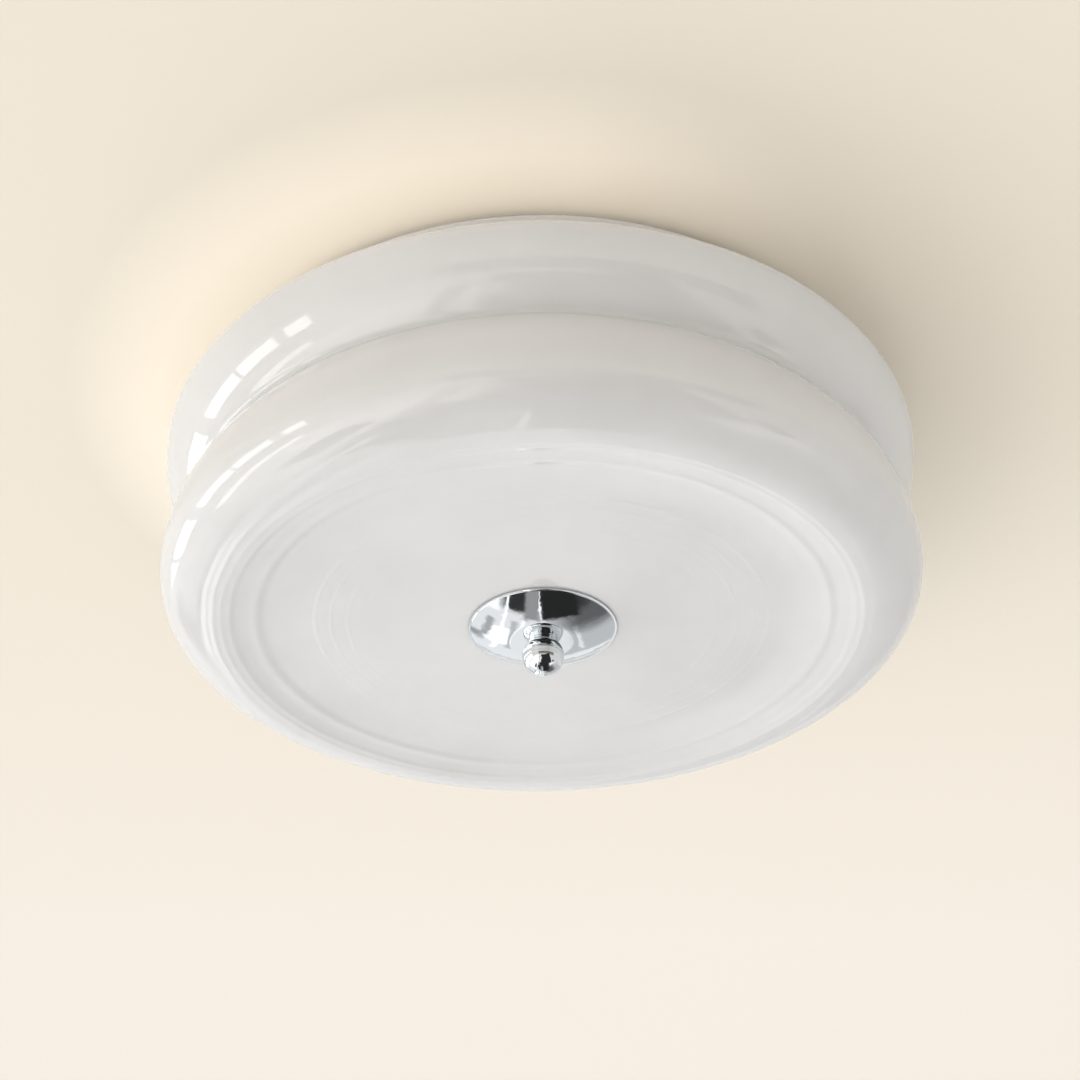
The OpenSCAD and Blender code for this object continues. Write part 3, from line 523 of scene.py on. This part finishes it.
def chamfered(half_flats, top, bottom):
    """Profile of the outside of a nut between two depths: a flat face and a cone at either end, wide open
    between them so that the hexagon cuts it."""
    reach = np.linspace(0, 1, 5) * half_flats * nut_cone_share
    cone = np.column_stack([half_flats * nut_face_share + reach, reach * np.tan(nut_cone_angle)])
    return np.vstack([cone * [1, 1] + [0, top], (cone * [1, -1] + [0, bottom])[::-1]])


cap_profile = np.vstack([
    [[0, cap_bore_bottom], [cap_bore_radius, cap_bore_bottom], [cap_bore_radius, cap_top]],
    chamfered(cap_nut_radius, cap_top, cap_hex_bottom)[:-2],
    arc([0, cap_hex_bottom], cap_dome, 0, 90, 14)])
cap_grids = [hexagon(cap_profile, cap_nut_radius) + [side * stud_x, 0, 0] for side in (-1, 1)]
cap_nuts = surface("domed_nuts", cap_grids, wrap_columns=True)
cap_nuts.data.materials.append(zinc)
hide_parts("cap_nuts")
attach(cap_nuts, "base")
dress(zinc, "cap_washers", edge=0.0002)

# Tube: M10 steel tube threaded from end to end, zinc-plated. Two nuts with washers clamp the pan's
# plate, and a third nut, a washer and a gasket stop the glass.
tube_radius = 0.005
tube_bore_radius = 0.0035
tube_thread_pitch = 0.001
tube_thread_depth = 0.0005
tube_around = 40
tube_row = 0.000125
tube_nut_half = 0.0085
tube_nut_bore = 0.00508
tube_nut_spans = [(0.0145, 0.019), (0.0222, 0.0267)]


def threaded(radius, depth, pitch, start, end, row, around):
    """Grid of a right-hand thread along +Z: the radius swings between radius and radius - depth by a
    cosine of length / pitch - angle / turn, and the swing fades out over one pitch at either end."""
    along = np.linspace(start, end, int((end - start) / row))[:, None]
    angle = np.linspace(0, 2 * np.pi, around, endpoint=False)[None]
    fade = np.clip(np.minimum(along - start, end - along) / pitch, 0, 1)
    swing = (1 - np.cos(2 * np.pi * (along / pitch - angle / (2 * np.pi)))) / 2
    reach = radius - depth * swing * fade
    return np.stack([reach * np.cos(angle), reach * np.sin(angle), along + 0 * angle], -1)


tube_low, tube_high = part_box("centre_tube")
tube_rod = threaded(tube_radius, tube_thread_depth, tube_thread_pitch, tube_low.z, tube_high.z, tube_row,
                    tube_around)
tube_bore = revolved(np.array([[tube_bore_radius, tube_high.z], [tube_bore_radius, tube_low.z]]), tube_around)
tube = surface("threaded_tube", [np.concatenate([tube_rod, tube_bore])], True, True)
tube.data.materials.append(zinc)
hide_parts("centre_tube")
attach(tube, "base")


def nut_grid(half_flats, bore_radius, top, bottom):
    """Closed grid of a hexagon nut with chamfered faces and a plain bore."""
    bore = [[bore_radius, bottom], [bore_radius, top]]
    return hexagon(np.vstack([bore, chamfered(half_flats, top, bottom)]), half_flats)


stop_low, stop_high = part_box("stop_nut")
for name, node, spans in (("tube_hex_nuts", "tube_nuts", tube_nut_spans),
                          ("stop_hex_nut", "stop_nut", [(-stop_high.z, -stop_low.z)])):
    nuts = surface(name, [nut_grid(tube_nut_half, tube_nut_bore, *span) for span in spans], True, True)
    nuts.data.materials.append(zinc)
    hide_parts(node)
    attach(nuts, "base")
dress(zinc, "tube_washers", "stop_washer", edge=0.00015)

# Holder brackets: angles of zinc-plated steel sheet, each riveted to the pan by two rivets. A
# threaded nipple and a nut hold a lampholder on each upright.
lamp_angles = np.radians([90, 210, 330])
lamp_axis_depth = 0.062
contact_radius = 0.067
nipple_radius = 0.005
nipple_bore_radius = 0.0032
nipple_start = -0.0215
nipple_end = -0.009
nipple_nut_half = 0.007
nipple_nut_span = (-0.0195, -0.0155)


def on_lamp_axis(points, angle):
    """Turns a grid built along +Z from a bulb's end contact on to that lamp's axis, which points outwards
    at the angle."""
    out, side, drop = contact_radius + points[..., 2], points[..., 1], points[..., 0]
    return np.stack([out * np.cos(angle) - side * np.sin(angle), out * np.sin(angle) + side * np.cos(angle),
                     -lamp_axis_depth - drop], -1)


nipple_rod = threaded(nipple_radius, tube_thread_depth, tube_thread_pitch, nipple_start, nipple_end, tube_row,
                      tube_around)
nipple_bore = revolved(np.array([[nipple_bore_radius, nipple_end], [nipple_bore_radius, nipple_start]]),
                       tube_around)
nipple_grid = np.concatenate([nipple_rod, nipple_bore])
nipple_nut = nut_grid(nipple_nut_half, tube_nut_bore, -nipple_nut_span[1], -nipple_nut_span[0])
for name, node, grid in (("threaded_nipples", "lampholder_nipples", nipple_grid),
                         ("nipple_hex_nuts", "lampholder_nuts", nipple_nut)):
    pieces = surface(name, [on_lamp_axis(grid, angle) for angle in lamp_angles], True, True)
    pieces.data.materials.append(zinc)
    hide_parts(node)
    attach(pieces, "base")
dress(zinc, "holder_brackets", edge=0.0002)
dress(zinc, "bracket_rivets")

# Lampholders: bodies of glazed white porcelain, each with a rolled brass shell that takes the bulb's
# cap and a sprung brass contact at its floor.
porcelain_tone = (0.84, 0.83, 0.79)
brass_tone = (0.74, 0.56, 0.27)
shell_start = -0.002
shell_end = 0.021
shell_inner_radius = 0.01345
shell_sheet = 0.00035
screw_pitch = 0.00362
shell_thread_depth = 0.00035
screw_row = 0.0003
screw_around = 72
porcelain = grained("porcelain", porcelain_tone, 0.14, 0, 25, 0.02, 0.04, 0.00004)
dress(porcelain, "lampholder_bodies", edge=0.0006)
brass = grained("brass", brass_tone, 0.27, 1, 50, 0.12, 0.1)
shell_crest = shell_inner_radius + shell_thread_depth
shell_outside = threaded(shell_crest + shell_sheet, shell_thread_depth, screw_pitch, shell_start, shell_end,
                         screw_row, screw_around)
shell_inside = threaded(shell_crest, shell_thread_depth, screw_pitch, shell_start, shell_end, screw_row,
                        screw_around)
shell_grid = np.concatenate([shell_outside, shell_inside[::-1]])
shells = surface("rolled_shells", [on_lamp_axis(shell_grid, angle) for angle in lamp_angles], True, True)
shells.data.materials.append(brass)
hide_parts("lampholder_shells")
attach(shells, "base")
dress(brass, "lampholder_contacts", edge=0.0003)

# Terminal block: moulded of pale nylon, with three brass pole tubes and their clamp screws, held on
# the pan by two zinc-plated screws.
block_tone = (0.80, 0.79, 0.72)
block_finish = grained("block_plastic", block_tone, 0.45, 0, 80, 0.03, 0.06, 0.00003)
dress(block_finish, "terminal_block", edge=0.0004)
dress(brass, "terminal_tubes", "terminal_screws", edge=0.00015)
dress(zinc, "block_screws", edge=0.0002)

# Earth connection: a stamped ring tag with a crimped barrel, between the head of a dome-headed screw
# and the pan, and a nut behind the pan. All zinc-plated steel.
earth_nut_half = 0.0035
earth_nut_bore = 0.00208
earth_low, earth_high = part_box("earth_nut")
earth_middle = [(earth_low.x + earth_high.x) / 2, (earth_low.y + earth_high.y) / 2, 0]
earth_grid = nut_grid(earth_nut_half, earth_nut_bore, -earth_high.z, -earth_low.z) + earth_middle
earth_nut = surface("earth_hex_nut", [earth_grid], True, True)
earth_nut.data.materials.append(zinc)
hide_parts("earth_nut")
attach(earth_nut, "base")
dress(zinc, "earth_tag", "earth_screw", edge=0.00015)

# Leads: copper wire in smooth coloured insulation, brown for live, blue for neutral and green for
# earth. They run loose from the terminal block to the lampholders.
lead_joint = 1e-6
for name, node, tone in (("brown_lead", "live_leads", (0.16, 0.075, 0.035)),
                         ("blue_lead", "neutral_leads", (0.05, 0.16, 0.45)),
                         ("green_lead", "earth_lead", (0.14, 0.38, 0.07))):
    dress(grained(name, tone, 0.36, 0, 120, 0.12, 0.08, 0.00001), node)
    merge = cad_objects[node].modifiers.new("merge", "WELD")
    merge.merge_threshold = lead_joint
    rounded = cad_objects[node].modifiers.new("rounded", "SUBSURF")
    rounded.levels = rounded.render_levels = 2

# Bulbs: an opal plastic globe on a moulded white body, with a rolled screw cap of nickel-plated
# brass and a soldered end contact.
cap_radius = 0.0132
cap_thread_depth = 0.0007
cap_start = 0.004
cap_thread_start = 0.0045
cap_thread_end = 0.0225
cap_end = 0.026
cap_stem_radius = 0.0124
cap_rim_round = 0.0002
cap_rim_step = 0.0004
globe_tone = (0.88, 0.88, 0.86)
body_tone = (0.86, 0.86, 0.85)
cap_tone = (0.72, 0.71, 0.68)
globe_finish = grained("bulb_opal", globe_tone, 0.3, 0, 15, 0.015, 0.04, 0.00001)
body_finish = grained("bulb_plastic", body_tone, 0.42, 0, 70, 0.02, 0.05, 0.00003)
cap_finish = grained("bulb_metal", cap_tone, 0.24, 1, 60, 0.07, 0.07)
cap_thread = threaded(cap_radius, cap_thread_depth, screw_pitch, cap_thread_start, cap_thread_end, screw_row,
                      screw_around)
cap_back = revolved(np.array([[cap_radius, cap_end - cap_rim_round], [cap_radius - cap_rim_round, cap_end],
                              [cap_stem_radius, cap_end], [cap_stem_radius, cap_start],
                              [cap_radius - cap_rim_step, cap_start]]), screw_around)
cap_grid = np.concatenate([cap_thread, cap_back])
for number, angle in enumerate(lamp_angles, 1):
    cap = surface(f"screw_cap_{number}", [on_lamp_axis(cap_grid, angle)], True, True)
    cap.data.materials.append(cap_finish)
    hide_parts(f"bulb_cap_{number}")
    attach(cap, f"bulb_{number}")
    dress(globe_finish, f"bulb_globe_{number}")
    dress(body_finish, f"bulb_body_{number}", edge=0.0003)
    dress(cap_finish, f"bulb_contact_{number}", edge=0.0003)

# Inner gasket: a ring of clear rubber under the stop washer, inside the glass, soft enough to seat
# the glass.
gasket_tone = (0.62, 0.62, 0.58)
clear_rubber = grained("clear_rubber", gasket_tone, 0.5, 0, 70, 0.06, 0.08)
dress(clear_rubber, "inner_gasket", edge=0.0002)

# Glass shade: blown opal glass with two bellies and a waist between them, open at the neck, with
# a drawn-up bottom face that is drilled once. Fire-polished, so every edge is round and the wall
# waves a little.
glass_low, glass_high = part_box("glass_shade")
belly_radius = glass_high.x
glass_top = -glass_high.z
glass_depth = -glass_low.z
upper_depth = 0.0385
shoulder_size = np.array([0.018, 0.014])
neck_inset = 0.027
neck_radius = belly_radius - neck_inset
neck_corner = 0.005
waist_inset = 0.019
waist_radius = belly_radius - waist_inset
waist_depth = 0.0735
waist_blend = 0.004
upper_sweep = 56
lower_sweep = 50
lower_inset = 0.004
lower_radius = belly_radius - lower_inset
lower_depth = 0.113
crest_inset = 0.032
crest_radius = lower_radius - crest_inset
rim_roll = 0.006
rim_roll_sweep = 12
rim_blend = 0.016
face_recess = 0.006
face_depth = glass_depth - face_recess
glass_wall = 0.0032
glass_hole_radius = 0.0065
glass_wave = 0.00025
glass_around = 160
glass_rings = [(0.1630, 0.0013, 0.00026), (0.1500, 0.0028, 0.00040), (0.1190, 0.0010, 0.00008),
               (0.1110, 0.0008, 0.00006), (0.1020, 0.0008, 0.00006), (0.0920, 0.0008, 0.00005)]
ring_zone = [0.1225, 0.0890]
level_within = 1e-6
glass_swell = 22
glass_relief = 0.00045
ring_waves = 240
ring_relief = 0.000012
opal_roughness = 0.025
opal_drift = 14
opal_shine = 0.8
opal_milk = 0.7
opal_milk_depth = 0.006
opal_dark = (0.681, 0.673, 0.664)
opal_light = (0.722, 0.714, 0.708)


def glass_outline():
    """Outer profile of the glass from the neck's rim to the hole, as (radius, depth), short of both by half
    the wall, which the rounded edges fill. On the bottom face each ring (radius, width, height) adds
    height * exp(-((r - radius) / width)^2)."""
    rim = [neck_radius, glass_top + glass_wall / 2]
    hole = [glass_hole_radius + glass_wall / 2, face_depth]
    shoulder_top = upper_depth - shoulder_size[1]
    upper_size = [(belly_radius - waist_radius) / (1 - np.cos(np.radians(upper_sweep))),
                  (waist_depth - upper_depth) / np.sin(np.radians(upper_sweep))]
    lower_size = [(lower_radius - waist_radius) / (1 - np.cos(np.radians(lower_sweep))),
                  (lower_depth - waist_depth) / np.sin(np.radians(lower_sweep))]
    upper_end = upper_sweep * (1 - waist_blend / (waist_depth - upper_depth))
    lower_start = lower_sweep * (1 - waist_blend / (lower_depth - waist_depth))
    upper = arc([belly_radius - upper_size[0], upper_depth], upper_size, 0, upper_end, 24)
    lower = arc([lower_radius - lower_size[0], lower_depth], lower_size, -lower_start, 0, 22)
    roll = arc([crest_radius, glass_depth - rim_roll], [rim_roll, rim_roll], 90, 90 + rim_roll_sweep, 12)
    slope_end = [roll[-1, 0] - (roll[-1, 1] - face_depth) / np.tan(np.radians(rim_roll_sweep)), face_depth]
    face_start = [slope_end[0] - rim_blend, face_depth]
    lowest_size = [lower_radius - crest_radius, glass_depth - lower_depth]
    ring_zone_start, ring_zone_end = [[radius, face_depth] for radius in ring_zone]
    outline = np.vstack([
        [rim], straight(rim, [neck_radius, shoulder_top - neck_corner], 4),
        blend([neck_radius, shoulder_top - neck_corner], [neck_radius, shoulder_top],
              [neck_radius + neck_corner, shoulder_top], 8),
        arc([belly_radius - shoulder_size[0], upper_depth], shoulder_size, -90, 0, 20)[:-1], upper[:-1],
        blend(upper[-1], [waist_radius, waist_depth], lower[0], 10)[:-1], lower,
        arc([crest_radius, lower_depth], lowest_size, 0, 90, 26)[1:-1],
        roll[:-1], blend(roll[-1], slope_end, face_start, 48), straight(face_start, ring_zone_start, 22),
        straight(ring_zone_start, ring_zone_end, 64), straight(ring_zone_end, hole, 18), [hole]])
    on_face = outline[:, 1] > face_depth - level_within
    for radius, width, height in glass_rings:
        outline[:, 1] += on_face * height * np.exp(-((outline[:, 0] - radius) / width) ** 2)
    return outline


def walled(outline, wall, edge_steps=6):
    """Closed profile of a wall: the outline, its copy moved inwards along its normals by the wall, and a
    half circle round either end."""
    along = np.gradient(outline, axis=0)
    along /= np.linalg.norm(along, axis=1, keepdims=True)
    inwards = np.column_stack([-along[:, 1], along[:, 0]])
    turn = np.linspace(0, np.pi, edge_steps + 2)[1:-1, None]
    far_edge = outline[-1] + wall / 2 * (inwards[-1] * (1 - np.cos(turn)) + along[-1] * np.sin(turn))
    near_edge = outline[0] + wall / 2 * (inwards[0] * (1 + np.cos(turn)) - along[0] * np.sin(turn))
    return np.vstack([outline, far_edge, (outline + inwards * wall)[::-1], near_edge])


def waved(points, amount):
    """Draws a turned grid in like blown glass, by amount * (2 + sin(3 angle + 40 height)
    + sin(5 angle - 70 height + 1)) / 4."""
    angle = np.arctan2(points[..., 1], points[..., 0])
    height = points[..., 2]
    wave = (2 + np.sin(3 * angle + 40 * height) + np.sin(5 * angle - 70 * height + 1)) / 4
    reach = np.hypot(points[..., 0], points[..., 1])
    shrink = 1 - amount * wave / np.maximum(reach, neck_radius / 2)
    return points * np.stack([shrink, shrink, 1 + 0 * shrink], -1)


def opal_glass():
    """Milky glossy glass: a tone that drifts slowly, and a very shallow relief of slow waves and of
    rings round the axis from the spinning of the blown glass."""
    material, shader = finish("opal_glass", opal_light, opal_roughness)
    tinted(material, shader, noise(material, opal_drift, 4), opal_dark, opal_light, 0.3, 0.7)
    shader.inputs["Specular IOR Level"].default_value = opal_shine
    shader.inputs["Subsurface Weight"].default_value = opal_milk
    shader.inputs["Subsurface Radius"].default_value = (1, 1, 1)
    shader.inputs["Subsurface Scale"].default_value = opal_milk_depth
    relief(material, shader, noise(material, glass_swell, 1), glass_relief)
    swell = shader.inputs["Normal"].links[0].from_socket
    links = material.node_tree.links
    rings = material.node_tree.nodes.new("ShaderNodeTexNoise")
    rings.noise_dimensions = "1D"
    rings.inputs["Scale"].default_value = ring_waves
    links.new(off_axis(material), rings.inputs["W"])
    relief(material, shader, rings.outputs["Fac"], ring_relief)
    links.new(swell, shader.inputs["Normal"].links[0].from_node.inputs["Normal"])
    return material


shade_profile = walled(glass_outline(), glass_wall) * [1, -1]
shade = surface("opal_shade", [waved(revolved(shade_profile, glass_around), glass_wave)], True, True)
shade.data.materials.append(opal_glass())
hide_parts("glass_shade")
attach(shade, "shade")

# Outer gasket: a ring of clear rubber of wedge section between the dish's rim and the glass, so that
# the steel doesn't press on the glass.
dress(clear_rubber, "outer_gasket", edge=0.0002)

# Dish: a shallow cone spun from thin steel sheet and chromed, with an upright lip round its rim
# and a flat middle that the ball presses on.
dish_low, dish_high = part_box("dish_cover")
dish_radius = dish_high.x
dish_depth = -dish_low.z
dish_lip = 0.0013
dish_lip_roll = 0.0004
dish_flat_radius = 0.0165
dish_fillet = 0.0035
dish_dome = 0.0006
dish_hole_radius = 0.0053
dish_wall = 0.001
dish_rim_gap = 0.0002
dish_rim_depth = face_depth + dish_rim_gap + dish_wall / 2
chrome_tone = (0.78, 0.805, 0.825)
chrome_waves = 110
chrome_relief = 0.00012
chrome_haze_grain = 120
chrome_haze = [0.02, 0.07]
dish_around = 192


def dish_outline():
    """Outer profile of the dish, from the rim on the glass over the lip, the slope and its fillet to the
    hole, as (radius, depth), short of both by half the wall. The slope is a parabola that stands
    dish_dome proud of the straight cone."""
    hole = [dish_hole_radius + dish_wall / 2, dish_depth]
    cone_top = np.array([dish_radius, face_depth + dish_lip])
    slope = (dish_depth - cone_top[1]) / (dish_radius - dish_flat_radius - dish_fillet / 2)
    cone_end = np.array([dish_flat_radius + dish_fillet, dish_depth - dish_fillet / 2 * slope])
    lip_end = cone_top + np.array([-dish_lip_roll, dish_lip_roll * slope])
    outwards = np.array([slope, 1]) / np.hypot(slope, 1)
    dome = blend(lip_end, (lip_end + cone_end) / 2 + 2 * dish_dome * outwards, cone_end, 40)
    last_slope = (dome[-1] - dome[-2]) / (dome[-1, 1] - dome[-2, 1])
    fillet_corner = dome[-1] + last_slope * (dish_depth - dome[-1, 1])
    return np.vstack([
        [[dish_radius, dish_rim_depth]], straight([dish_radius, dish_rim_depth], cone_top, 3),
        blend([dish_radius, cone_top[1] - dish_lip_roll], cone_top, lip_end, 5)[:-1],
        dome[:-1], blend(dome[-1], fillet_corner, [dish_flat_radius, dish_depth], 12)[:-1],
        straight([dish_flat_radius, dish_depth], hole, 8), [hole]])


def chrome():
    """Polished chrome with a faint haze that comes and goes, over metal that is not quite even."""
    material, shader = finish("chrome", chrome_tone, chrome_haze[0], 1)
    between(material, noise(material, chrome_haze_grain, 3), *chrome_haze, shader.inputs["Roughness"])
    relief(material, shader, noise(material, chrome_waves, 2), chrome_relief)
    return material


chrome_finish = chrome()
dish_profile = walled(dish_outline(), dish_wall, 4) * [1, -1]
dish = surface("chrome_dish", [revolved(dish_profile, dish_around)], True, True)
dish.data.materials.append(chrome_finish)
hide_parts("dish_cover")
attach(dish, "dish")

# Ball finial: a ball on a short neck, turned from brass and chromed. Its blind threaded hole takes the
# tube's end, and its neck presses the dish against the glass.
ball_low, ball_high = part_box("ball_finial")
ball_radius = ball_high.x
ball_depth = -ball_low.z - ball_radius
ball_neck_radius = 0.008
ball_bore_radius = 0.00508
ball_bore_length = 0.009
ball_bore_end = dish_depth + ball_bore_length
ball_neck_edge = 0.0004
ball_around = 96


def ball_outline():
    """Profile of the finial from the bore's bottom on the axis, up the bore, over the neck's face and
    down round the ball to its lowest point, as (radius, depth)."""
    neck_angle = np.degrees(np.arcsin(ball_neck_radius / ball_radius))
    ball = arc([0, ball_depth], [ball_radius, ball_radius], neck_angle - 90, 90, 60)
    return np.vstack([
        [[0, ball_bore_end + ball_bore_radius / 2]], [[ball_bore_radius, ball_bore_end]],
        straight([ball_bore_radius, ball_bore_end], [ball_bore_radius, dish_depth], 4),
        [[ball_bore_radius, dish_depth]], [[ball_neck_radius - ball_neck_edge, dish_depth]],
        [[ball_neck_radius, dish_depth + ball_neck_edge]], ball[:-1], [[0, ball_depth + ball_radius]]])


ball = surface("chrome_ball", [revolved(ball_outline() * [1, -1], ball_around)], False, True)
ball.data.materials.append(chrome_finish)
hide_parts("ball_finial")
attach(ball, "finial")
